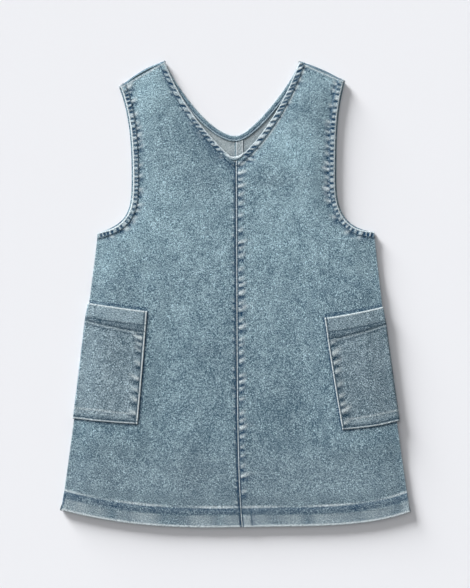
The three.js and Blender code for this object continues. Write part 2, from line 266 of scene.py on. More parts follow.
# Puckers, each with its place along the stitching, its length, its width and its depth. Up the centre
# seam the place is the height on the dress, round the armholes it is the length from the underarm,
# and along the neck it is the length from the point of the V.
right["seam_puckers"] = [
    (136, 9.5, 1.4, 0.38), (126, 10.6, 1.4, 0.4), (119, 6.8, 1.2, 0.24), (112, 9.7, 1.3, 0.39),
    (102, 8.2, 1.5, 0.28), (93, 9.1, 1.5, 0.21), (80, 7.1, 1.5, 0.22), (64, 7.2, 1.5, 0.25),
    (52, 11.1, 1.3, 0.36), (45, 8.4, 1.5, 0.24), (36, 9.2, 1.8, 0.30), (22, 7.3, 1.6, 0.25),
    (12, 8.5, 1.5, 0.23), (6, 9.5, 1.4, 0.37), (-4, 8.9, 1.8, 0.39), (-14, 8.8, 1.6, 0.23),
    (-21, 11.0, 2.0, 0.39), (-32, 7.9, 1.4, 0.26), (-40, 9.9, 1.7, 0.38), (-52, 7.7, 1.3, 0.26),
    (-58, 7.1, 1.4, 0.22), (-67, 7.0, 1.6, 0.23), (-76, 8.0, 1.7, 0.31), (-91, 8.7, 1.4, 0.27),
    (-98, 8.9, 1.7, 0.36), (-105, 7.2, 1.4, 0.23), (-116, 8.1, 1.3, 0.23), (-132, 7.6, 1.7, 0.25),
    (-139, 8.0, 1.4, 0.25), (-148, 10.6, 1.9, 0.36), (-156, 7.7, 1.4, 0.24),
    (-167, 6.9, 1.3, 0.21), (-176, 7.6, 1.2, 0.21), (-188, 7.0, 1.5, 0.24),
    (-198, 11.6, 1.5, 0.38), (-216, 7.6, 1.8, 0.22),
]
left["seam_puckers"] = [
    (135, 4.4, 1.2, 0.14), (121, 4.2, 1.5, 0.13), (110, 3.8, 1.4, 0.16), (96, 4.5, 1.7, 0.12),
    (86, 4.9, 1.4, 0.15), (78, 4.2, 1.6, 0.17), (68, 4.2, 1.7, 0.13), (59, 4.9, 1.7, 0.16),
    (48, 4.0, 1.3, 0.15), (40, 3.8, 1.5, 0.14), (29, 5.0, 1.8, 0.14), (20, 5.0, 1.3, 0.14),
    (9, 4.1, 1.7, 0.14), (-10, 4.9, 1.6, 0.14), (-19, 4.6, 1.9, 0.20), (-30, 4.7, 1.5, 0.14),
    (-42, 4.2, 1.6, 0.16), (-51, 4.7, 1.5, 0.19), (-67, 3.9, 1.7, 0.13), (-84, 4.4, 1.8, 0.19),
    (-92, 4.2, 1.2, 0.15), (-104, 5.0, 1.6, 0.15), (-112, 4.3, 1.5, 0.16), (-123, 4.1, 1.4, 0.14),
    (-130, 4.1, 1.5, 0.14), (-148, 4.2, 1.6, 0.14), (-162, 4.3, 1.5, 0.16), (-182, 4.4, 1.4, 0.12),
    (-202, 3.8, 1.4, 0.16), (-210, 4.7, 1.4, 0.15), (-226, 6.2, 1.4, 0.26),
]
right["armhole_puckers"] = [
    (10, 6.5, 1.6, 0.23), (21.5, 7.2, 1.6, 0.27), (39, 7.3, 1.6, 0.25), (54.5, 7.8, 1.7, 0.30),
    (61.5, 7.5, 1.5, 0.27), (66.5, 9.4, 1.7, 0.43), (73.5, 6.9, 1.3, 0.29), (78, 6.1, 1.7, 0.26),
    (87.5, 8.9, 1.7, 0.45), (93.5, 7.9, 1.6, 0.28), (103.5, 6.8, 1.7, 0.24), (112, 6.3, 1.4, 0.24),
    (120, 6.4, 1.4, 0.23), (127.5, 7.2, 1.3, 0.24), (133.5, 7.3, 1.5, 0.25), (138, 7.7, 1.3, 0.28),
    (155, 6.1, 1.3, 0.27), (170.5, 6.9, 1.5, 0.28), (177.5, 6.6, 1.6, 0.30),
]
left["armhole_puckers"] = [
    (9, 6.2, 1.5, 0.21), (23, 6.7, 1.7, 0.32), (31.5, 6.9, 1.5, 0.33), (35, 7.0, 1.6, 0.23),
    (42.5, 6.6, 1.4, 0.22), (48.5, 7.6, 1.2, 0.31), (59.5, 6.7, 1.5, 0.23), (63.5, 7.1, 1.3, 0.22),
    (77, 6.5, 1.6, 0.21), (88.5, 6.4, 1.5, 0.24), (108, 7.7, 1.6, 0.24), (113.5, 6.8, 1.7, 0.25),
    (119.5, 7.4, 1.7, 0.32), (128.5, 7.8, 1.2, 0.29), (133.5, 6.1, 1.3, 0.26),
    (141.5, 6.2, 1.7, 0.27), (156, 8.6, 1.5, 0.35), (166, 6.3, 1.6, 0.24), (171, 10.4, 1.6, 0.37),
]
right["neck_puckers"] = [
    (25.5, 4.5, 1.3, 0.20), (65, 4.6, 1.3, 0.19),
    (80.5, 5.4, 1.6, 0.22), (97.5, 5.6, 1.4, 0.24), (105.5, 7.0, 1.7, 0.24), (114, 5.1, 1.8, 0.29),
    (122.5, 8.5, 1.5, 0.45),
]
left["neck_puckers"] = [
    (10, 4.4, 1.7, 0.18), (40, 4.5, 1.6, 0.18), (45.5, 4.0, 1.3, 0.14), (57.5, 3.9, 1.5, 0.18),
    (76.5, 4.6, 1.3, 0.17), (96.5, 4.8, 1.5, 0.17), (113, 4.6, 1.5, 0.14), (128, 3.8, 1.4, 0.15),
]

# Where the turned edges rope: the middles of the hollows, along the edge
right["armhole_hollows"] = [
    2, 6.5, 10.5, 17, 22, 26.5, 31, 36, 42.5, 47, 51.5, 56.5, 60, 65, 70, 76.5, 83, 89.5, 94.5, 100,
    105.5, 110.5, 116.5, 122, 129, 135, 139, 144.5, 150, 156.5, 163.5, 171, 176.5, 181.5,
]
left["armhole_hollows"] = [
    3, 7, 10.5, 15, 21, 25.5, 32.5, 36.5, 40.5, 46.5, 51.5, 56.5, 61, 65.5, 69.5, 74, 78, 82.5, 86.5,
    92, 96, 100.5, 104.5, 108, 113.5, 118.5, 124, 127.5, 131, 137, 141.5, 149, 153.5, 158.5, 163,
    167, 170.5,
]
right["neck_hollows"] = [
    13, 18, 24, 34, 43, 49, 57, 64.5, 71.5, 76, 81.5, 86, 91, 97, 101, 106.5, 111, 117.5, 124,
]
left["neck_hollows"] = [
    18, 25, 32, 39, 45, 50.5, 56.5, 62, 72, 80.5, 91.5, 100, 107.5, 115, 121,
]


class Relief:
    """What stitching does to a face: its height, and how dark or worn the cloth is there. Its darkening is
    mostly colour the wash spared, and in a few places painted shade and shadow.
    """

    def __init__(self, shape):
        self.height = np.zeros(shape)
        self.dark = np.zeros(shape)
        self.worn = np.zeros(shape)

    # darkens the cloth, both where the wash spared the colour and, in a few places, as painted shade and
    # shadow
    def darken(self, amount):
        self.dark = np.maximum(self.dark, amount)

    def rub(self, amount):
        self.worn = np.maximum(self.worn, amount)

    def puckers(self, table, along, away, start, lean=0.0, share=1.0, stain=1.0, broad=1.0):
        for at, length, width, depth in table:
            width = width * broad
            d = (away - start) / length
            reach = np.where((d > -0.02) & (d < 1), (1 - np.clip(d, 0, 1) ** 2) ** 1.4, 0) * share
            s = along - at - lean * (away - start)
            wide = width * (0.8 + 0.5 * np.clip(d, 0, 1))
            self.height += reach * depth * (0.45 * ridge(s, 1.9 * wide, wide) - ridge(s, 0, wide))
            darkening = min(1.2, 0.45 + 3.0 * depth * stain)
            self.darken(reach * darkening * ridge(s, 0.1, 1.2 * wide))
            self.rub(reach * 1.9 * depth * stain * ridge(s, 2.4 * wide, 0.9 * wide))

    def roping(self, hollows, along, away, low, high, lean, depth, rubbed=0.85):
        across = between(away, low, high, 1.0)
        wide = 1.5 + 0.45 * abs(lean)
        hollow, edge = np.zeros(along.shape), (hollows[0] - 4, hollows[-1] + 4)
        for k, at in enumerate(hollows):
            s = along - at - lean * (away - (low + high) / 2)
            deep = depth * (0.8 + 0.4 * math.sin(2.3 * k + at))
            lip = 0.6 * ridge(s, 1.65 * wide, 0.8 * wide)
            self.height += across * deep * (lip - ridge(s, 0, 0.85 * wide))
            strength = 1.2 + 0.25 * math.sin(1.7 * k + at)
            hollow = np.maximum(hollow, strength * np.exp(-((s / wide) ** 4)))
        ridged = smooth((along - edge[0]) / 3) * smooth((edge[1] - along) / 3)
        ridged = ridged * (1 - np.clip(hollow, 0, 1))
        self.darken(across * hollow)
        self.rub(across * ridged * rubbed * (1 + 0.25 * np.sin(along / 3.7)))

    def stitched(self, away, at, share=1.0, dark=0.7, depth=0.28, width=0.5):
        self.height -= depth * share * ridge(away, at, width)
        self.darken(dark * share * ridge(away, at, width * 1.15))

    def edge_worn(self, away, at, width, amount, share=1.0):
        self.rub(amount * share * ridge(away, at, width))

    def marks(self, tone):
        """What the shader needs to know. Hollows are never rubbed, so their darkening wins."""
        bare = 1 - 0.85 * smooth((self.dark - 0.45) / 0.5)
        return {"dark": self.dark, "worn": self.worn * bare, "tone": tone}


# Where the wash left more or less dye: x and y on the dress, half sizes, and how much lighter
wash = [
    (-42, 170, 14, 14, -0.35), (0, 140, 10, 8, -0.35), (80, 202, 12, 14, -0.35),
    (42, 121, 16, 10, -0.4), (82, 120, 14, 10, -0.3), (-38, 10, 14, 20, -0.25),
    (-120, 0, 14, 12, -0.25), (158, 4, 10, 14, -0.25), (120, -20, 16, 12, -0.25),
    (-32, -60, 18, 10, -0.35), (80, -60, 12, 12, -0.3), (50, -102, 20, 10, -0.3),
    (58, -142, 14, 12, -0.35), (20, -158, 12, 14, -0.3), (-52, -200, 18, 36, -0.3),
    (44, -220, 14, 10, -0.25), (-138, 38, 12, 14, 0.3), (-160, -80, 10, 28, 0.28),
    (60, 158, 12, 12, 0.3), (60, 58, 30, 14, 0.16), (-92, 222, 22, 18, 0.35),
    (62, 155, 24, 20, 0.5), (-75, 108, 26, 22, 0.3), (45, 121, 32, 11, -0.4),
    (104, 158, 15, 36, -0.2), (-92, 60, 26, 24, 0.28), (-136, 32, 20, 16, 0.4),
    (45, 50, 32, 26, 0.33), (130, 61, 24, 12, -0.35), (-20, -76, 24, 38, -0.32),
    (-158, -82, 12, 36, 0.35), (-42, -155, 15, 46, -0.3), (52, -122, 26, 30, -0.28),
    (112, -122, 16, 14, -0.25), (-92, -190, 24, 26, 0.3), (32, -222, 18, 12, -0.2),
    (-162, -162, 14, 34, 0.28), (-25, 155, 14, 14, -0.25), (6, 60, 10, 60, 0.1),
    (-128, 6, 30, 24, -0.35), (122, 4, 34, 30, -0.4), (0, 40, 60, 60, -0.1),
    (100, 190, 22, 60, -0.15), (110, 120, 24, 40, -0.2), (-30, 120, 24, 20, -0.55),
    (-18, 60, 34, 60, 0.12), (-98, 205, 20, 26, 0.5), (88, 205, 18, 30, 0.12),
    (55, 110, 40, 32, 0.28), (-70, 150, 30, 24, -0.15), (60, 150, 26, 22, 0.22),
    (-90, 60, 36, 40, 0.18), (95, 40, 40, 40, 0.05), (-60, -60, 50, 50, 0.16),
    (0, -190, 120, 30, -0.12), (130, -190, 40, 30, -0.05), (-150, -190, 34, 36, -0.22),
    (-130, 30, 20, 26, -0.12), (135, 20, 16, 30, -0.1), (-20, 150, 14, 10, -0.35),
    (25, 140, 20, 10, -0.1), (-50, -150, 50, 30, 0.1),
]


def washed(x, y):
    # the cloth is made darker towards the bottom, and towards the lower right, before the wash patches are
    # added
    tone = -0.03 - 0.5 * smooth((110 - y) / 300) - 0.1 * smooth((x + 60) / 120) * smooth((30 - y) / 60)
    for cx, cy, rx, ry, amount in wash:
        tone += amount * np.exp(-(((x - cx) / rx) ** 2) - ((y - cy) / ry) ** 2)
    return tone


# A few soft creases from folding: two ends, half width and depth
creases = [
    (-99, 179, -79, 202, 0.9, 0.35), (-120, 20, -60, 32, 5, 0.25), (40, 8, 110, -6, 6, 0.22),
    (-60, -170, -20, -185, 5, 0.2), (30, -150, 90, -166, 6, 0.2), (-30, 100, -70, 84, 5, 0.2),
    (36, 92, 84, 104, 5, 0.22), (120, -210, 100, -180, 4, 0.18), (-118, -205, -96, -188, 4, 0.2),
]


def stroke(x, y, x0, y0, x1, y1, width):
    """A soft mark between two places, 1 along its middle."""
    run = np.array([x1 - x0, y1 - y0])
    length = np.hypot(*run)
    along = ((x - x0) * run[0] + (y - y0) * run[1]) / length**2
    away = ((x - x0) * run[1] - (y - y0) * run[0]) / length
    return smooth(along / 0.3) * smooth((1 - along) / 0.3) * ridge(away, 0, width)


def creased(x, y):
    return -sum(depth * stroke(x, y, *line) for *line, depth in creases)


def turned_edge(radius, degrees, run, turn):
    """An edge turned under: its angles, and how far in and how far down its points lie."""
    angle = np.radians(degrees) * np.minimum(turn, 1)
    distance = radius * (1 - np.sin(angle)) - np.cos(angle) * run * (turn > 1)
    drop = radius * (1 - np.cos(angle)) + np.sin(angle) * run * (turn > 1)
    return angle, distance, drop


def turned_columns(lay, inner_round, outer_round, near_columns, middle_columns, beside_pocket=False):
    """Distances across each row, from under one edge to under the other, and how far each column
    has turned round its edge. A round is (radius, degrees, run beneath) at the seam and on the curve."""
    turn = np.array([1.25, 1.0, 0.8, 0.6, 0.4, 0.2])

    def one(rounds, on_curve):
        sizes = [(a + (b - a) * on_curve)[:, None] for a, b in zip(*rounds)]
        flat = sizes[0] + (lay["fine"] - sizes[0]) * np.linspace(0, 1, near_columns)
        return *turned_edge(*sizes, turn), flat

    def none(count):
        return np.full((len(lay["rows"]), count), np.nan)

    angle_in, d_in, drop_in, flat_in = one(inner_round, lay["on_neck"])
    angle_out, d_out, drop_out, flat_out = one(outer_round, lay["on_arm"])
    count = middle_columns
    from_inner = np.hstack([d_in, flat_in, none(count + near_columns + 6)])
    from_outer = np.hstack([none(6 + near_columns + count), flat_out[:, ::-1], d_out[:, ::-1]])
    middle = np.tile(np.linspace(0, 1, count + 2)[1:-1], (len(lay["rows"]), 1))
    if beside_pocket:
        # below the underarm a few columns gather along the pocket's inner edge
        width, near = lay["width"][:, None], lay["fine"]
        edge = (width - lay["pocket_width"][:, None] - near) / (width - 2 * near)
        first = (edge - 5 / width) * np.linspace(0, 1, 10)[1:]
        beside = edge + np.array([-2.7, -1.6, -0.6, 0.5]) / width
        after = edge + 0.5 / width
        last = after + (1 - after) * np.linspace(0, 1, count - 11)[1:-1]
        gathered = smooth((underarm_row - 1 - lay["rows"][:, None]) / 6)
        middle = middle * (1 - gathered) + np.hstack([first, beside, last]) * gathered
    share = np.hstack([none(6 + near_columns), middle, none(near_columns + 6)])
    level = np.zeros((len(angle_in), count + 2 * near_columns))
    angle = np.hstack([angle_in, level, angle_out[:, ::-1]])
    drop = np.hstack([drop_in, level, drop_out[:, ::-1]])
    return from_inner, from_outer, share, angle, drop


def laid_panel(half, layer, rows, hem_round, shoulder_round, across):
    """Plan points of a panel with its edges turned, and how far each has turned round its edge."""
    hem_radius, top_radius, hem_step = hem_round[0], shoulder_round[0], hem_heights[1]
    turn = np.array([1.25, 1.0, 0.75, 0.5, 0.25])
    hem_angle, hem_rise, hem_drop = turned_edge(*hem_round, turn)
    top_angle, gap, top_drop = turned_edge(*shoulder_round, turn[::-1])
    from_top = (shoulder_row - rows) * shoulder_step
    body = rows[(rows * hem_step > hem_radius) & (from_top > top_radius + 0.4)]
    first, last = hem_radius / hem_step, shoulder_row - top_radius / shoulder_step
    hem_rows = np.interp(hem_rise, hem_heights[:3], row_levels[:3])
    everything = np.concatenate([hem_rows, [first], body, [last], np.full(5, float(shoulder_row))])
    main = level_rows(half, layer, np.maximum.accumulate(everything[5:-4]))
    low = level_rows(half, layer, np.sort(hem_rows))
    pick = np.argsort(np.argsort(hem_rows))
    lay = {"fine": main.pop("fine")}
    for key, value in main.items():
        lay[key] = np.concatenate([low[key][pick], value, np.repeat(value[-1:], 4, axis=0)])
    lay["squared"][:5] = 0
    from_inner, from_outer, share, angle, drop = turned_columns(lay, *across)
    plan = on_rows(lay, from_inner, from_outer, share)
    # the shoulder rows leave the last one square to the shoulder line
    line = lay["outer"][-1] - lay["inner"][-1]
    line = line / np.hypot(*line)
    down = np.array([line[1], -line[0]])
    plan[-5:] += down * gap[:, None, None]
    flat = np.zeros(len(everything) - 10)
    row_angle = np.concatenate([hem_angle, flat, top_angle])
    row_drop = np.concatenate([hem_drop, flat, top_drop])
    return lay, plan, np.maximum(angle, row_angle[:, None]), np.maximum(drop, row_drop[:, None])


def sewn_mesh(name, half, grids, flip):
    """Grids of points made into one mesh, with the shader's marks stored on its points: darkening (partly
    painted shade), wear and tone.
    """
    made = bmesh.new()
    layers = {key: made.verts.layers.float.new(key) for key in ("dark", "worn", "tone")}
    for points, marks, slot in grids:
        rows, columns = points.shape[:2]
        grid = bmesh.ops.create_grid(made, x_segments=columns - 1, y_segments=rows - 1, size=1)
        verts = grid["verts"]
        flat = points.reshape(-1, 3) * 0.001
        flat[:, 0] *= half["sign"]
        flags = [(layers[key], np.clip(marks[key], -2, 2).reshape(-1).tolist()) for key in layers]
        for k, (vert, place) in enumerate(zip(verts, flat.tolist())):
            vert.co = place
            for key, values in flags:
                vert[key] = values[k]
        for vert in verts:
            for face in vert.link_faces:
                face.material_index = slot
                face.smooth = True
    if flip:
        bmesh.ops.reverse_faces(made, faces=made.faces[:])
    mesh = bpy.data.meshes.new(name)
    made.to_mesh(mesh)
    made.free()
    piece = bpy.data.objects.new(name, mesh)
    bpy.context.scene.collection.objects.link(piece)
    return piece


def as_cloth(piece, outside):
    """Gives a piece its wall, with the denim's outside and its paler reverse."""
    wall = piece.modifiers.new("cloth", "SOLIDIFY")
    wall.thickness = cloth * 0.001
    wall.offset = -1
    wall.material_offset = 1
    piece.data.materials.append(outside)
    piece.data.materials.append(denim_reverse)


def edge_distances(half, layer, plan):
    """Distances from the seam, the neck, the armhole and the side, with the lengths along them."""
    flat = plan.reshape(-1, 2)
    shape = plan.shape[:2]
    arm_edge = half["armhole"]
    if layer["inset"]:
        at, _ = armhole_at(half, layer, np.linspace(0, 1, 361))
        steps = np.hypot(*np.diff(at, axis=0).T)
        arm_edge = {"points": at, "length": np.concatenate([[0], np.cumsum(steps)])}
    result = {"seam": (flat[:, 0] - half["sign"] * seam_x(flat[:, 1])).reshape(shape)}
    for key, edge, low in (("neck", half[layer["neck"]], 100), ("arm", arm_edge, 35)):
        far = np.full(len(flat), 99.0)
        along = np.zeros(len(flat))
        high = flat[:, 1] > low
        far[high], along[high] = nearest(flat[high], edge)
        result[key], result[key + "_along"] = far.reshape(shape), along.reshape(shape)
    return result


# faded streaks in the hem: x, half width, how much lighter
hem_streaks = [
    (-163, 6, 0.35), (-132, 7, -0.55), (-103, 8, 0.3), (-71, 7, -0.6), (-51, 3, -0.45), (-38, 7, 0.25),
    (-14, 5, -0.2), (16, 5, 0.25), (44, 5, -0.3), (66, 4, 0.2), (80, 5, -0.4), (104, 7, 0.25), (128, 5, -0.25),
    (152, 6, 0.2), (172, 6, -0.35),
]


def front_relief(half, lay, plan, near, from_side):
    relief = Relief(plan.shape[:2])
    x, y = plan[..., 0], plan[..., 1]
    world_x = x * half["sign"]
    neck, arm = near["neck"], near["arm"]
    seam = near["seam"]
    rising = np.interp(lay["rows"], row_levels[:5], [*hem_heights, 60])[:, None] * np.ones_like(x)
    below_v = smooth((front_neck_y + 1 - y) / 3)
    on_band = smooth((14 - rising) / 2)
    above_hem = smooth((rising - 21) / 3)
    # the turned bands
    bands = np.maximum(smooth((6.9 - neck) / 1.2), smooth((6.9 - arm) / 1.2))
    hem = smooth((21.6 - rising) / 2.2)
    right_front = half is right
    allowance = 0.4 * smooth((14 - seam) / 9) * below_v if right_front else 0
    relief.height += np.maximum(np.maximum(bands, hem * 0.5), allowance)
    # neck
    if right_front:
        relief.roping(half["neck_hollows"], near["neck_along"], neck, 0.9, 5.4, 0.9, 0.42, 0.75)
    else:
        relief.roping(half["neck_hollows"], near["neck_along"], neck, 1.5, 5.8, 0.8, 0.42, 0.4)
    relief.stitched(neck, 5.3 if right_front else 6.3, dark=1.0, width=0.8)
    relief.edge_worn(neck, *((0.2, 0.6, 0.9) if right_front else (0.9, 0.9, 1.0)))
    if right_front:
        relief.edge_worn(neck, 7.6, 0.9, 0.5)
        # two deep tucks beside the point of the V, with worn cloth between them
        for tuck in ((9, 148.2, 24, 146.2, 1.2), (7, 143.4, 20, 140.8, 1.3)):
            deep = stroke(x, y, *tuck)
            relief.height -= 0.5 * deep
            relief.darken(1.2 * deep)
        relief.rub(0.6 * stroke(x, y, 11, 145, 23, 143.2, 0.9))
    relief.puckers(half["neck_puckers"], near["neck_along"], neck, 6.0, stain=1.2)
    # armhole
    rope_from = 1.2 if right_front else 1.5
    relief.roping(half["armhole_hollows"], near["arm_along"], arm, rope_from, 5.4, 0, 0.4, 0.5)
    relief.stitched(arm, 5.9, dark=0.85, width=0.75)
    relief.edge_worn(arm, 0.4 if right_front else 0.6, 0.8, 1.2)
    relief.darken((0.65 if right_front else 0.5) * between(arm, 4.2, 8.3, 2))
    relief.puckers(half["armhole_puckers"], near["arm_along"], arm, 6.0, stain=1.3, broad=1.2)
    # centre front seam
    if right_front:
        relief.height += below_v * (0.35 * ridge(seam, 0.6, 0.7) - 0.3 * ridge(seam, -0.5, 0.5))
        relief.edge_worn(seam, 0.6, 0.55, 0.7, below_v)
        relief.stitched(seam, 1.55, below_v, dark=1.2, width=0.85)
        # painted shade where the right front's edge drops to the left front
        relief.darken(0.8 * below_v * ridge(seam, -0.5, 0.5))
        relief.puckers(half["seam_puckers"], y, seam, 2.5, 0.1, below_v, 1.35, 1.3)
    else:
        relief.height -= below_v * 0.45 * ridge(seam, 0.8, 1.3)
        # painted shade in the groove of the left front beside the seam
        relief.darken(below_v * 0.9 * between(seam, -0.5, 2.6, 1.2))
        relief.puckers(half["seam_puckers"], y, seam, 1.6, 0.1, below_v, 1.3)
    # skirt hem: twin stitching at 14 and 20 mm with the dye kept between the lines
    wander = 0.3 * np.sin(x / 17) + 0.2 * np.sin(x / 7.3)
    relief.stitched(rising, 14.2 + wander, dark=0.7, depth=0.22)
    relief.stitched(rising, 20.2 + wander * 0.5, dark=0.85, depth=0.25)
    uneven = 0.58 + 0.12 * np.sin(x / 9.1) + 0.1 * np.sin(x / 3.3)
    relief.darken(between(rising, 13.8 + wander, 20.6, 1.2) * uneven)
    relief.edge_worn(rising, 21.5, 0.6, 0.5 + 0.3 * np.sin(x / 13))
    relief.rub(1.1 * smooth((2.7 - rising) / 1.2))
    relief.rub(0.07 * smooth((-140 - y) / 60))
    relief.rub(on_band * (0.22 + 0.08 * np.sin(x / 4.3) * np.sin(x / 11)))
    for streak_x, wide, streak in hem_streaks:
        streak_at = ridge(world_x, streak_x, wide)
        relief.worn += 0.42 * streak * streak_at * between(rising, 3, 13.5, 1.5)
        relief.darken(-0.3 * streak * streak_at * smooth((13.8 - rising) / 1.5))
    relief.rub(0)
    # and its cloth puckers slantwise, about every 7 mm
    for k in range(26):
        s = x - (8 + 7.1 * k + 1.8 * math.sin(2.4 * k)) - 0.25 * (rising - 10)
        depth = 0.16 * (0.7 + 0.5 * math.sin(1.9 * k))
        relief.height -= depth * ridge(s, 0, 1.9) * between(rising, 1, 13.5, 3)
    if right_front:
        relief.darken(1.0 * ridge(seam, 11.2, 1.0) * between(rising, 1, 20, 2))
        relief.rub(0.35 * between(seam, 2.5, 9.5, 2) * between(rising, 2, 13, 2))
        relief.height += 0.35 * smooth((11 - seam) / 1.0) * smooth((13 - rising) / 2)
    else:
        corner = between(rising, 1, 19, 2) * smooth((1.4 + 0.15 * rising - from_side) / 1.3)
        relief.darken(0.95 * corner)
    # beside the pocket: painted shadow of the pocket on the front, along its inner edge, above its mouth and
    # below its foot
    rows = lay["rows"][:, None]
    behind = (rows > foot_row - 0.1) & (rows < mouth_row + 0.1)
    inner_edge = from_side - lay["pocket_width"][:, None]
    relief.darken(ridge(inner_edge, 1.3, 1.3) * behind)
    over_mouth = (half["armhole"]["points"][0][1] - half["mouth"]["side"]) / (underarm_row - mouth_row)
    over_mouth = over_mouth * (rows - mouth_row)
    under_foot = (foot_row - rows) * 9.6
    beside = smooth((1.2 - inner_edge) / 1)
    relief.darken(0.6 * between(over_mouth, 0, 3.4, 1.2) * beside)
    relief.darken(0.8 * ridge(under_foot, 0.9, 1.0) * beside)
    # shoulder: the front is stitched down beside its seam
    start = lay["inner"][-1]
    line = lay["outer"][-1] - start
    line = line / np.hypot(*line)
    from_top = (x - start[0]) * line[1] - (y - start[1]) * line[0]
    relief.darken(0.9 * ridge(from_top, 0.3, 0.5))
    relief.edge_worn(from_top, 1.5, 0.6, 0.9)
    # side seams: the cloth rolls over, a little worn
    relief.edge_worn(from_side, 0.2, 0.8, 0.25, 1 - smooth((y - 60) / 8))
    fold = creased(world_x, y)
    relief.height += fold * above_hem * smooth(neck / 8) * smooth(arm / 8)
    if not right_front:
        beside_v = ridge(neck, 7.5, 5) * smooth((95 - near["neck_along"]) / 50)
        relief.darken(0.55 * beside_v)
    relief.tone = washed(world_x, y) - 0.3 * ridge(seam, 0, 9) * below_v - 0.45 * on_band
    relief.tone -= 0.28 * smooth((-140 - y) / 60)
    # the sharp crease at the left shoulder kept its dye
    relief.darken(0.5 * (fold < -0.2) * (world_x < -80) * (y > 150))
    return relief


def sewn_front(name, half):
    rows = even_rows(half, front_layer, 1.0, 0.8)
    lay, plan, turned, drop = laid_panel(
        half, front_layer, rows, (1.02, 180, 3), (0.7, 100, 0.3),
        (((0.6, 90, 0.2), (1.02, 180, 3)), ((0.9, 100, 0.2), (1.02, 180, 3)), 22, 20, True),
    )
    near = edge_distances(half, front_layer, plan)
    side = {"points": lay["outer"][5:-5][lay["rows"][5:-5] <= underarm_row]}
    side["length"] = np.arange(len(side["points"]), dtype=float)
    from_side, _ = nearest(plan.reshape(-1, 2), side)
    from_side = from_side.reshape(plan.shape[:2])
    below = (lay["rows"] <= underarm_row)[:, None]
    edge = np.where(below, from_side, np.minimum(near["arm"], 99))
    level = level_of_front(half, lay, edge, near["neck"])
    relief = front_relief(half, lay, plan, near, from_side)
    rows_in = np.clip(np.arange(len(plan)), 5, len(plan) - 6)
    columns_in = np.clip(np.arange(plan.shape[1]), 6, plan.shape[1] - 7)
    top = (level + relief.height)[rows_in][:, columns_in]
    points = np.dstack([plan, top - drop])
    marks = relief.marks(relief.tone)
    marks["worn"] *= smooth((1.75 - turned) / 0.7)
    marks["dark"] = marks["dark"] * smooth((1.2 - turned) / 0.6) + 0.35 * smooth((turned - 1.2) / 0.5)
    grids = [(points, marks, 0)]
    if half is left:
        # the corner of the turned neck edge, which rounds the point of the V and laps onto the other
        # front: a bent strip, with both its long edges and its ends let down into the cloth
        lip_deep = 4.6
        t, down = np.meshgrid(np.linspace(0, 1, 40), np.linspace(0, lip_deep, 12), indexing="ij")
        lip_x = (1 - t) ** 2 * -9.8 + 2 * t * (1 - t) * 1.5 + t**2 * 12.5
        lip_y = (1 - t) ** 2 * 152.2 + 2 * t * (1 - t) * 142.2 + t**2 * 151.6
        lip_y = lip_y - down * (0.55 + 1.8 * t * (1 - t))
        lip_z = 5.35 - 0.9 * ridge(down, 0, 0.4) - 0.5 * ridge(down, lip_deep, 0.7)
        lip_z = lip_z - 1.2 * smooth((0.12 - t) / 0.12) - 0.7 * smooth((t - 0.85) / 0.15)
        rubbed = (0.3 + 0.3 * smooth((0.42 - t) / 0.05)) * smooth(3.4 - down)
        notch = 0.4 * ridge(t, 0.44, 0.02) * (down > 1)
        # its lower edge is darkened as painted shadow where the lip is let down into the cloth
        lip = {
            "dark": np.maximum(0.95 * smooth((down - 3.5) / 0.7), notch),
            "worn": 0.9 * ridge(down, 0.5, 0.9) + rubbed,
            "tone": 0.2 - t,
        }
        grids.append((np.dstack([lip_x, lip_y, lip_z]), lip, 0))
    return sewn_mesh(name, half, grids, half is left)


def linear(red, green, blue):
    """A colour as paint makers give it, 0 to 255, as the render needs it."""
    return tuple(((c / 255 + 0.055) / 1.055) ** 2.4 for c in (red, green, blue)) + (1,)


def node(tree, kind, **settings):
    made = tree.nodes.new(kind)
    for key, value in settings.items():
        setattr(made, key, value)
    return made


def noise(tree, place, stretch, detail):
    """Soft random shade, with stretch as features per millimetre along x, y and z."""
    spread = node(tree, "ShaderNodeMapping")
    spread.inputs["Scale"].default_value = [1000 * s for s in stretch]
    tree.links.new(place, spread.inputs["Vector"])
    made = node(tree, "ShaderNodeTexNoise")
    made.inputs["Scale"].default_value = 1.0
    made.inputs["Detail"].default_value = detail
    made.inputs["Roughness"].default_value = 0.55
    tree.links.new(spread.outputs["Vector"], made.inputs["Vector"])
    return made.outputs["Fac"]


def arithmetic(tree, operation, a, b, clamp=False):
    made = node(tree, "ShaderNodeMath", operation=operation, use_clamp=clamp)
    for socket, value in zip(made.inputs, (a, b)):
        if isinstance(value, (int, float)):
            socket.default_value = value
        else:
            tree.links.new(value, socket)
    return made.outputs[0]


def blended(tree, share, a, b):
    made = node(tree, "ShaderNodeMix", data_type="RGBA", clamp_factor=True)
    for name, value in (("Factor_Float", share), ("A_Color", a), ("B_Color", b)):
        socket = next(s for s in made.inputs if s.identifier == name)
        if isinstance(value, tuple) or isinstance(value, (int, float)):
            socket.default_value = value
        else:
            tree.links.new(value, socket)
    return next(s for s in made.outputs if s.identifier == "Result_Color")


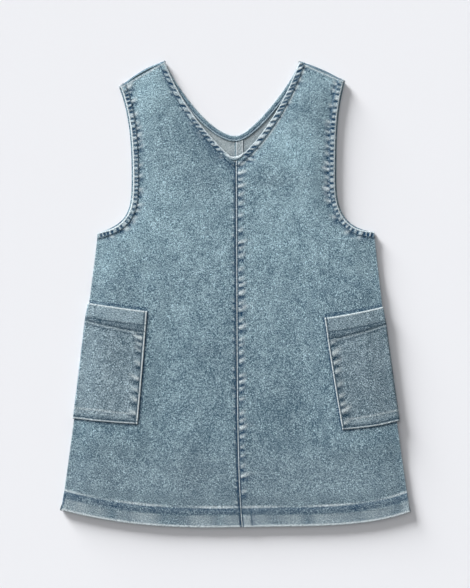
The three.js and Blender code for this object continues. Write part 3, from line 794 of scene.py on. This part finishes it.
def washed_cloth_group():
    """Slubbed washed denim: faded threads, darker where the Dark mark asks, for colour the wash spared in
    hollows and for painted shade and shadow, and paler on worn ridges.
    """
    tree = bpy.data.node_groups.new("washed denim", "ShaderNodeTree")
    for way, kind, names in (
        ("INPUT", "NodeSocketColor", ("Deep", "Faded", "Dark dye and shade", "Worn cloth")),
        ("INPUT", "NodeSocketFloat", ("Dark", "Worn", "Tone", "Contrast")),
        ("OUTPUT", "NodeSocketColor", ("Colour",)),
        ("OUTPUT", "NodeSocketFloat", ("Roughness", "Height")),
    ):
        for name in names:
            tree.interface.new_socket(name=name, in_out=way, socket_type=kind)

    def plus(a, b):
        return arithmetic(tree, "ADD", a, b)

    def less(a, b):
        return arithmetic(tree, "SUBTRACT", a, b)

    def times(a, b, clamp=False):
        return arithmetic(tree, "MULTIPLY", a, b, clamp)

    def centred(value, weight):
        return times(less(value, 0.5), weight)

    given = node(tree, "NodeGroupInput").outputs
    place = node(tree, "ShaderNodeTexCoord").outputs["Object"]
    warp = noise(tree, place, (2.5, 0.75, 0.9), 1.0)
    weft = noise(tree, place, (0.6, 2.4, 0.9), 1.0)
    slub = noise(tree, place, (1.9, 1.9, 0.9), 1.0)
    cloud = noise(tree, place, (0.075, 0.06, 0.06), 3.0)
    spread = plus(plus(centred(warp, 2.9), centred(weft, 2.2)), centred(slub, 3.1))
    grain = times(spread, given["Contrast"])
    shade = plus(plus(grain, centred(cloud, 1.1)), plus(0.42, times(given["Tone"], 0.4)))
    shade = times(shade, 0.62, True)
    toned = node(tree, "ShaderNodeHueSaturation")
    tree.links.new(blended(tree, shade, given["Deep"], given["Faded"]), toned.inputs["Color"])
    tree.links.new(plus(1.02, times(given["Tone"], 0.08)), toned.inputs["Saturation"])
    # the Dark mark darkens towards the third colour: colour the wash spared, and in places painted shade and
    # shadow
    darkening = times(given["Dark"], less(1.05, times(grain, 0.5)), True)
    darkened = blended(tree, darkening, toned.outputs["Color"], given["Dark dye and shade"])
    rubbed = times(given["Worn"], plus(0.95, times(grain, 0.6)), True)
    out = node(tree, "NodeGroupOutput").inputs
    tree.links.new(blended(tree, rubbed, darkened, given["Worn cloth"]), out["Colour"])
    tree.links.new(less(0.93, times(given["Worn"], 0.08)), out["Roughness"])
    tree.links.new(plus(spread, 0.5), out["Height"])
    return tree


washed_denim = washed_cloth_group()


def denim_finish(name, deep, faded, dark_dye_and_shade, worn, contrast=1.0):
    made = bpy.data.materials.new(name)
    made.use_nodes = True
    tree = made.node_tree
    shader = tree.nodes["Principled BSDF"]
    group = node(tree, "ShaderNodeGroup")
    group.node_tree = washed_denim
    for key, colour in (("Deep", deep), ("Faded", faded), ("Dark dye and shade", dark_dye_and_shade), ("Worn cloth", worn)):
        group.inputs[key].default_value = linear(*colour)
    group.inputs["Contrast"].default_value = contrast
    for key, mark in (("Dark", "dark"), ("Worn", "worn"), ("Tone", "tone")):
        read = node(tree, "ShaderNodeAttribute", attribute_name=mark)
        tree.links.new(read.outputs["Fac"], group.inputs[key])
    raised = node(tree, "ShaderNodeBump")
    raised.inputs["Strength"].default_value = 0.35
    raised.inputs["Distance"].default_value = 0.0004
    tree.links.new(group.outputs["Height"], raised.inputs["Height"])
    tree.links.new(group.outputs["Colour"], shader.inputs["Base Color"])
    tree.links.new(group.outputs["Roughness"], shader.inputs["Roughness"])
    tree.links.new(raised.outputs["Normal"], shader.inputs["Normal"])
    shader.inputs["Specular IOR Level"].default_value = 0.2
    shader.inputs["Sheen Weight"].default_value = 0.08
    shader.inputs["Sheen Roughness"].default_value = 0.5
    return made


# the third colour is the dark colour that both the wash-spared hollows and the painted shade darken towards
denim = denim_finish("denim", (56, 87, 106), (215, 245, 255), (20, 61, 91), (230, 242, 246), 1.55)
denim_reverse = denim_finish(
    "denim_reverse", (128, 142, 150), (216, 226, 227), (62, 84, 98), (225, 231, 234)
)
for name, half in (("front_left", left), ("front_right", right)):
    piece = sewn_front("denim_" + name, half)
    as_cloth(piece, denim)
    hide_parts(name)
    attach(piece, "root")
    half["front"], half["sewn"] = piece, [piece]

# ---------------------------------------------------------------------------------------------
# The two backs
# The same denim, outside down on the table, joined at a felled centre back seam. The neck and armhole
# edges are turned up and stitched, so the outside of the cloth shows as a band round the neck, above
# the pale inside. At the shoulders the back comes over the fold to meet the front.


def neck_band(half):
    """The neck's turned band: it comes up round the edge and lies on the inside of the back."""
    share = np.linspace(0, 1, 150)
    at, way = at_share(half["back_neck"], share)
    at[0, 0], way[0] = half["sign"] * seam_x(back_neck_y), (1, 0)
    square = np.stack([way[:, 1], -way[:, 0]], -1)
    angle = np.radians([82, 105, 130, 155, 180])
    run = np.linspace(0, 5.2, 16)[1:]
    away = np.concatenate([1.05 * (1 - np.sin(angle)), 1.05 + run])
    up = np.concatenate([1.05 * (1 - np.cos(angle)), np.full(len(run), 2.1)])
    plan = at[:, None, :] + square[:, None, :] * away[None, ::-1, None]
    away, up = away[::-1] * np.ones((150, 1)), up[::-1] * np.ones((150, 1))
    along = share[:, None] * half["back_neck"]["length"][-1] * np.ones_like(away)
    relief = Relief(away.shape)
    relief.stitched(away, 3.9, dark=1.0, depth=0.2, width=0.6)
    relief.edge_worn(away, 4.9, 0.5, 0.35)
    relief.edge_worn(away, 0.4, 0.6, 0.3)
    relief.darken(np.maximum(0.18, 0.7 * smooth((away - 5.7) / 0.5)))
    relief.height += 0.06 * np.sin(along / 1.9) * ridge(away, 3.9, 1.4)
    marks = {"dark": relief.dark, "worn": relief.worn, "tone": washed(plan[..., 0], plan[..., 1]) - 0.3}
    end = 0.25 * smooth((away - 5.4) / 0.8)
    # columns run from the band's raw edge out to the fold, as the back itself does in from its edge
    return np.dstack([plan, up + relief.height - end]), marks, 0


def felled_seam():
    """The centre back seam's allowance, felled flat to the right on the inside."""
    across, up = np.meshgrid(np.linspace(0.3, 8.6, 20), np.linspace(88, back_neck_y - 4.5, 60))
    x = seam_x(up) + across
    edge = smooth((across - 0.1) / 0.7) * smooth((8.6 - across) / 0.7)
    relief = Relief(across.shape)
    relief.stitched(across, 2.2, dark=0.5, depth=0.16, width=0.4)
    relief.edge_worn(across, 1.1, 0.5, 0.8)
    relief.edge_worn(across, 6.9, 0.5, 0.7)
    relief.stitched(across, 6.0, dark=0.15, depth=0.12, width=0.4)
    # painted shadow along the allowance's outer edge, where it drops to the back
    relief.darken(0.75 * smooth((across - 7.6) / 0.5))
    height = 1.0 + 0.65 * edge + relief.height
    marks = {"dark": relief.dark, "worn": relief.worn, "tone": np.zeros_like(across)}
    # faced down here, because the whole right back is turned over with its outside to the table
    return np.dstack([x, up, height])[:, ::-1], {k: v[:, ::-1] for k, v in marks.items()}, 1


def sewn_back(name, half):
    rows = even_rows(half, back_layer, 1.4, 1.1)
    lay, plan, turned, rise = laid_panel(
        half, back_layer, rows, (1.05, 180, 5), (1.7, 178, 0.6),
        (((0.7, 90, 0.5), (1.05, 92, 0.1)), ((1.3, 118, 0.3), (1.05, 180, 5.2)), 18, 14),
    )
    near = edge_distances(half, back_layer, plan)
    from_side = np.hypot(*(plan - lay["outer"][:, None, :]).transpose(2, 0, 1))
    below = (lay["rows"] <= underarm_row)[:, None]
    lift = pocket_lift * over_pocket(half, lay, np.where(below, from_side, 99))
    relief = Relief(plan.shape[:2])
    on_band = smooth((turned - 1.4) / 0.5)
    neck = near["neck"]
    relief.edge_worn(neck, 0.3, 0.7, 0.35, on_band)
    # painted shadow of the front on the back's turned edges, where they show beyond it
    relief.darken(on_band * 0.4 * (1 - smooth((turned - 1.5) / 1.4)))
    # the outside lies on the table, so its puckers and creases are hollows that rise off it
    x, y = plan[..., 0], plan[..., 1]
    sewn = Relief(plan.shape[:2])
    sewn.roping(half["armhole_hollows"], near["arm_along"], near["arm"], 1.3, 5.4, 0, 0.4, 0.5)
    sewn.stitched(near["arm"], 5.9, dark=0.85, width=0.75)
    sewn.puckers(half["armhole_puckers"], near["arm_along"], near["arm"], 6.0, stain=1.3, broad=1.3)
    sewn.stitched(near["seam"], 1.7, dark=1.0, width=0.85)
    sewn.puckers(half["seam_puckers"], y, near["seam"], 2.5, 0.1, 1.0, 1.3, 1.4)
    sewn.height += creased(-x * half["sign"], y) * smooth(near["arm"] / 8)
    outside = smooth((1.3 - turned) / 0.5) * smooth((neck - 30) / 10)
    # the back's turned edges take a little more painted shadow of the front here
    marks = {
        "dark": np.maximum(relief.dark + 0.25 * on_band, sewn.dark * outside),
        "worn": np.maximum(relief.worn, sewn.marks(0)["worn"] * outside), "tone": washed(x, y),
    }
    points = np.dstack([plan, lift + rise + np.maximum(-sewn.height, 0) * outside])
    grids = [(points, marks, 0), neck_band(half)]
    if half is right:
        grids.append(felled_seam())
    return sewn_mesh(name, half, grids, half is right)


for name, half in (("back_left", left), ("back_right", right)):
    piece = sewn_back("denim_" + name, half)
    as_cloth(piece, denim)
    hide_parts(name)
    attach(piece, "root")
    half["sewn"].append(piece)

# ---------------------------------------------------------------------------------------------
# The two patch pockets
# Patches of the same denim, a little greyer, that lie on the front and wrap round the side seam to the
# back. The mouth has a 20 mm hem with twin stitching, and the inner edge and the foot are turned under
# and stitched close to the edge, which puckers the cloth along them.
left["pocket_stitch"], right["pocket_stitch"] = 2.3, 1.9  # from the pocket's inner edge
left["pocket_puckers"] = [
    (7.5, 9.0, 1.4, 0.25), (21.5, 8.3, 1.6, 0.23), (33.5, 8.7, 1.3, 0.19), (45.5, 10.8, 1.5, 0.28),
    (61.5, 7.3, 1.6, 0.20), (77, 8.8, 1.5, 0.20), (83, 8.3, 1.5, 0.19), (90.5, 11.7, 1.3, 0.34),
    (98.5, 11.9, 1.5, 0.38), (118.5, 7.6, 1.4, 0.25),
]
right["pocket_puckers"] = [
    (2.5, 7.5, 1.5, 0.22), (15, 11.3, 1.9, 0.31), (23.5, 7.7, 1.3, 0.24), (32.5, 7.1, 1.4, 0.22),
    (45, 7.5, 1.5, 0.21), (59.5, 7.1, 1.5, 0.23), (69.5, 9.4, 1.5, 0.23), (78.5, 9.7, 1.9, 0.28),
    (92, 8.0, 1.3, 0.21), (99, 9.3, 1.6, 0.35), (107, 7.7, 1.4, 0.20), (120, 8.1, 1.7, 0.25),
]


def pocket_rows(half, heights):
    """Level rows at heights over the pocket's foot, in any order."""
    height = half["mouth"]["side"] - half["foot"]["side"]
    numbers = np.interp(heights, [0, *(height - h for h in mouth_hem), height], row_levels[4:8])
    order = np.argsort(numbers, kind="stable")
    found = level_rows(half, front_layer, numbers[order])
    lay = {"fine": found.pop("fine")}
    lay.update({key: value[np.argsort(order)] for key, value in found.items()})
    lay["squared"] = np.zeros(len(heights))
    return lay


def on_pocket(half, heights, from_inner):
    lay = pocket_rows(half, heights)
    none = np.full(from_inner.shape, np.nan)
    return on_rows(lay, none, lay["pocket_width"][:, None] - from_inner, none)


def mouth_line(half, e, which):
    """How far the mouth's two lines of stitching lie below it: they draw apart towards the middle."""
    wide = half["mouth"]["width"]
    return (14.6 + 1.0 * e / wide, 21.5 - 3.0 * e / wide)[which] + 0.3 * np.sin(e / 15)


def sewn_pocket(name, half):
    turn = np.array([1.25, 1.0, 0.8, 0.6, 0.4, 0.2])
    height = half["mouth"]["side"] - half["foot"]["side"]
    foot_round, mouth_round, edge_round = 0.75, 0.9, 0.8
    angles, foot_up, _ = turned_edge(foot_round, 180, 3, turn)
    _, mouth_down, _ = turned_edge(mouth_round, 180, 6, turn)
    _, edge_in, _ = turned_edge(edge_round, 180, 4, turn)
    up = np.linspace(foot_round, height - mouth_round, 200)
    heights = np.concatenate([foot_up, up, height - mouth_down[::-1]])
    lay_flat = pocket_rows(half, heights)
    row_angle = np.concatenate([angles, np.zeros(200), angles[::-1]])
    row_radius = np.concatenate([np.full(6, foot_round), np.ones(200), np.full(6, mouth_round)])
    # across the front, from the inner edge to the side
    wide = lay_flat["pocket_width"][:, None]
    finely = 16  # how far in the columns lie close together, for the puckers
    near_edge = np.concatenate([edge_in, np.linspace(edge_round, finely, 22)])
    beyond = finely + (wide - finely) * np.linspace(0, 1, 27)[1:]
    e = np.hstack([np.tile(near_edge, (len(heights), 1)), beyond])
    column_angle = np.concatenate([angles, np.zeros(22 + 26)])
    plan = on_pocket(half, heights, e)
    level = level_of_front(half, lay_flat, np.maximum(wide - e, 0), np.full(e.shape, 99.0))
    h = heights[:, None] * np.ones_like(e)
    down = height - h
    relief = Relief(e.shape)
    relief.height += 0.4 * smooth((10 - e) / 6)
    relief.height = np.maximum(relief.height, 0.4 * smooth((10 - h) / 6))
    relief.height = np.maximum(relief.height, 0.5 * smooth((mouth_line(half, e, 1) + 1.6 - down) / 2))
    relief.height += 0.2 * ridge(e, 1.1, 0.7)
    relief.stitched(e, half["pocket_stitch"], dark=1.1, width=0.85)
    relief.edge_worn(e, 0.8 if half is left else 0.4, 0.65, 1.1 if half is left else 0.8)
    relief.stitched(h, 3.0, dark=1.1, width=0.85)
    relief.edge_worn(h, 1.3, 0.55, 0.6)
    # painted shadow under the foot's fold
    relief.darken(0.8 * smooth((0.9 - h) / 0.5))
    relief.edge_worn(down, 0.6, 0.8, 0.7)
    upper, lower = mouth_line(half, e, 0), mouth_line(half, e, 1)
    relief.stitched(down, upper, dark=1.0, width=0.6)
    relief.stitched(down, lower, dark=1.15, width=0.75)
    relief.darken(between(down, upper, lower, 1.4) * (0.5 + 0.1 * np.sin(e / 5.1)))
    relief.edge_worn(down, lower + 2.1, 0.6, 0.2)
    # painted shadow below the step where the mouth's hem ends
    relief.darken(0.65 * ridge(down, lower + 4.3, 1.1))
    soft = [
        (at + 0.5, 1.15 * length, 1.5 * width, 0.9 * depth)
        for at, length, width, depth in half["pocket_puckers"]
    ]
    relief.puckers(soft, h, e, 2.6, 0.12, smooth((down - 22) / 3), 1.3)
    beside_hems = smooth((10 - h) / 5) + smooth((down - 21) / 2) * smooth((30 - down) / 6)
    for at, width, depth in ((14, 2.2, 0.1), (27, 2.0, 0.14), (38, 2.2, 0.1), (49, 1.8, 0.12)):
        relief.height -= depth * ridge(e, at, width) * beside_hems
    # the foot's allowance beneath leaves faint level streaks
    for at, width, dark, worn in (
        (4.8, 1.0, 0.35, 0), (8.0, 0.9, 0, 0.12), (9.8, 0.8, 0.12, 0), (11.8, 1.2, 0, 0.28),
    ):
        streak = ridge(h + 0.4 * np.sin(e / 9), at, width) * smooth((e - 4) / 4)
        relief.darken(dark * streak)
        relief.rub(worn * streak)
    turned = np.maximum(column_angle[None, :], row_angle[:, None])
    rows_in = np.clip(np.arange(len(e)), 6, len(e) - 7)
    columns_in = np.maximum(np.arange(e.shape[1]), 6)
    top = (level + 1.15 + relief.height)[rows_in][:, columns_in]
    row_drop = (row_radius * (1 - np.cos(row_angle)))[:, None]
    drop = np.maximum(edge_round * (1 - np.cos(column_angle)), row_drop)
    front_points = np.dstack([plan, top - drop])
    # round the side and under the dress
    side_top = top[:, -1:]
    wrap = np.radians([12, 25, 40, 55, 70, 90, 110, 130, 150, 165, 180])
    foot_proud, mouth_proud = half["foot"]["proud"], half["mouth"]["proud"]
    proud = foot_proud + (mouth_proud - foot_proud) * lay_flat["pocket_up"]
    reach = (1.2 + proud - 1.3 * smooth((22 - (height - heights)) / 24))[:, None]
    middle, rad = side_top / 2, side_top / 2
    x = lay_flat["outer"][:, :1] + (reach - row_drop * 0.6) * np.sin(wrap)
    z = middle + (rad - row_drop) * np.cos(wrap)
    wrap_points = np.dstack([x, np.repeat(lay_flat["outer"][:, 1:2], len(wrap), 1), z])
    under = np.linspace(0, 52, 12)[1:]
    under_plan = on_pocket(half, heights, wide - under)
    under_points = np.dstack([under_plan, np.repeat(row_drop, 11, 1)])
    points = np.concatenate([front_points, wrap_points, under_points], 1)
    extra = points.shape[1] - e.shape[1]

    def wider(values):
        return np.hstack([values, np.repeat(values[:, -1:], extra, 1)])

    marks = relief.marks(0)
    marks["worn"] *= smooth((2.2 - turned) / 0.9)
    marks["dark"] = marks["dark"] * smooth((1.3 - turned) / 0.6) + 0.35 * smooth((turned - 1.3) / 0.5)
    tone = washed(points[..., 0] * half["sign"], points[..., 1])
    hem_light = 0.3 * wider(smooth((14 - down) / 2)) - (0.1 if half is left else 0.3)
    marks = {"dark": wider(marks["dark"]), "worn": wider(marks["worn"]), "tone": tone + hem_light}
    return sewn_mesh(name, half, [(points, marks, 0)], half is left)


# its third colour is likewise the dark colour for wash-spared hollows and painted shade
pocket_denim = denim_finish(
    "pocket_denim", (66, 91, 105), (218, 241, 252), (22, 56, 76), (240, 250, 252), 1.6
)
for name, half in (("pocket_left", left), ("pocket_right", right)):
    piece = sewn_pocket("denim_" + name, half)
    as_cloth(piece, pocket_denim)
    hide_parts(name)
    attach(piece, "root")
    half["pocket"] = piece
    half["sewn"].append(piece)

# ---------------------------------------------------------------------------------------------
# The stitching
# Dark blue topstitching, lock-stitched in lines of about eight stitches to the inch, sunk a little
# into the cloth. Each stitch is a short rounded bar of thread lying on the panel that it was sewn to.


def lines_on(points, pitch):
    """Where the stitches of one line lie, and which way each one points."""
    points = np.asarray(points, float)
    steps = np.hypot(*np.diff(points, axis=0).T)
    length = np.concatenate([[0], np.cumsum(steps)])
    s = np.arange(pitch / 2, length[-1], pitch)

    def place(s):
        return np.stack([np.interp(s, length, points[:, k]) for k in (0, 1)], -1)

    return place(s), place(s + 0.5) - place(s - 0.5)


def stitched_on(made, cloth_face, sign, points, pitch=3.1, long=2.1, wide=0.42):
    at, ahead = lines_on(points, pitch)
    row = bmesh.new()
    for (x, y), (dx, dy) in zip(at, ahead):
        above = Vector((sign * x * 0.001, y * 0.001, 0.1))
        hit, square, _, _ = cloth_face.ray_cast(above, Vector((0, 0, -1)))
        if hit is None or square.z < 0.5:
            continue
        along = Vector((sign * dx, dy, 0)).normalized()
        along = (along - square * along.dot(square)).normalized()
        turn = Matrix((along, square.cross(along), square)).transposed().to_4x4()
        size = Matrix.Diagonal((long / 2000, wide / 2000, 0.00022, 1))
        place = Matrix.Translation(hit + square * 0.00006)
        bmesh.ops.create_uvsphere(row, u_segments=6, v_segments=4, radius=1, matrix=place @ turn @ size)
    sewn = bpy.data.meshes.new("sewn")
    row.to_mesh(sewn)
    row.free()
    made.from_mesh(sewn)
    bpy.data.meshes.remove(sewn)


def offset_line(edge, away, low, high):
    at, way = at_share(edge, np.linspace(low, high, 160))
    square = np.stack([way[:, 1], -way[:, 0]], -1)
    return at + square * away


thread = bpy.data.materials.new("thread")
thread.use_nodes = True
tree = thread.node_tree
twist = noise(tree, node(tree, "ShaderNodeTexCoord").outputs["Object"], (1.6, 1.6, 1.6), 2.0)
shade = blended(tree, twist, linear(30, 56, 74), linear(86, 116, 132))
tree.links.new(shade, tree.nodes["Principled BSDF"].inputs["Base Color"])
tree.nodes["Principled BSDF"].inputs["Roughness"].default_value = 0.7
bpy.context.view_layer.update()
for side, half in (("left", left), ("right", right)):
    made = bmesh.new()
    finished = bpy.context.evaluated_depsgraph_get()
    front = BVHTree.FromObject(half["front"], finished)
    pocket = BVHTree.FromObject(half["pocket"], finished)
    sign = half["sign"]
    stitched_on(made, front, sign, offset_line(half["front_neck"], 5.9, 0.02, 0.99))
    stitched_on(made, front, sign, offset_line(half["armhole"], -7.6, 0.01, 0.99))
    spread = level_rows(half, front_layer, np.interp([14.2, 20.2], hem_heights, row_levels[:4]))
    distances = np.linspace(2, 184, 120)[None, :] * np.ones((2, 1))
    blank = np.full(distances.shape, np.nan)
    for line in on_rows(spread, distances, blank, blank):
        stitched_on(made, front, sign, line, 3.3)
    if half is right:
        up = np.linspace(hem_centre_y + 3, front_neck_y - 5, 200)
        stitched_on(made, front, sign, np.stack([seam_x(up) + 1.7, up], -1))
    height = half["mouth"]["side"] - half["foot"]["side"]
    from_mouth, from_foot = np.linspace(height - 1, 3, 90), np.linspace(58, 3, 90)
    for e, h in (
        (half["pocket_stitch"] + 0 * from_mouth, height - from_mouth),
        (from_foot, 3.0 + 0.001 * np.arange(90)),
        (from_foot, height - mouth_line(half, from_foot, 0)),
        (from_foot, height - mouth_line(half, from_foot, 1)),
    ):
        order = np.argsort(h, kind="stable")
        line = on_pocket(half, h[order], e[order][:, None])[:, 0]
        stitched_on(made, pocket, sign, line, 3.0)
    mesh = bpy.data.meshes.new("stitching_" + side)
    for face in made.faces:
        face.smooth = True
    made.to_mesh(mesh)
    made.free()
    mesh.materials.append(thread)
    stitches = bpy.data.objects.new("stitching_" + side, mesh)
    bpy.context.scene.collection.objects.link(stitches)
    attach(stitches, "root")
    half["sewn"].append(stitches)

# ---------------------------------------------------------------------------------------------
# The table, the light and the camera
# A plain pale table under soft light from the upper left, seen from straight above.
floor_mesh = bpy.data.meshes.new("table_top")
made = bmesh.new()
just_below = Matrix.Translation((0, 0, -0.0003))
bmesh.ops.create_grid(made, x_segments=1, y_segments=1, size=3, matrix=just_below)
made.to_mesh(floor_mesh)
made.free()
floor = bpy.data.objects.new("table_top", floor_mesh)
bpy.context.scene.collection.objects.link(floor)
paint = bpy.data.materials.new("table_top")
paint.use_nodes = True
for key, value in (("Base Color", linear(236, 237, 241)), ("Roughness", 0.9), ("IOR", 1.0)):
    paint.node_tree.nodes["Principled BSDF"].inputs[key].default_value = value
floor_mesh.materials.append(paint)

sky = bpy.data.worlds.new("studio")
sky.use_nodes = True
sky.node_tree.nodes["Background"].inputs["Color"].default_value = (1, 1, 1, 1)
sky.node_tree.nodes["Background"].inputs["Strength"].default_value = 0.29
bpy.context.scene.world = sky
# A wide window at the upper left. The table gets its own lower window, so that the soft shadow on it
# reaches as far as in the photo. Each has its share of the light, its height and width in degrees,
# and where it stands.
on_table, on_dress = bpy.data.collections.new("on_table"), bpy.data.collections.new("on_dress")
on_table.objects.link(floor)
for half in (left, right):
    for piece in half["sewn"]:
        on_dress.objects.link(piece)
for name, share, height, width, stand, lit in (
    ("table_window", 0.64, 8.6, 22, (-0.6, 0.8), on_table),
    ("window", 0.55, 23, 38, (-0.66, 0.75), on_dress),
    ("ceiling", 0.1, 55, 60, (-0.66, 0.75), None),
):
    light = bpy.data.lights.new(name, "SUN")
    light.energy = share * math.pi / math.sin(math.radians(height))
    light.angle = math.radians(width)
    lamp = bpy.data.objects.new(name, light)
    towards = Vector((*stand, math.tan(math.radians(height))))
    lamp.rotation_euler = towards.to_track_quat("Z", "Y").to_euler()
    lamp.light_linking.receiver_collection = lit
    bpy.context.scene.collection.objects.link(lamp)
bpy.context.scene.view_settings.view_transform = "Standard"

lens = bpy.data.cameras.new("camera")
lens.lens = 85
lens.sensor_width = 36
camera = bpy.data.objects.new("camera", lens)
camera.location = (-0.0003, 0.0002, 1.489)
bpy.context.scene.collection.objects.link(camera)
bpy.context.scene.camera = camera
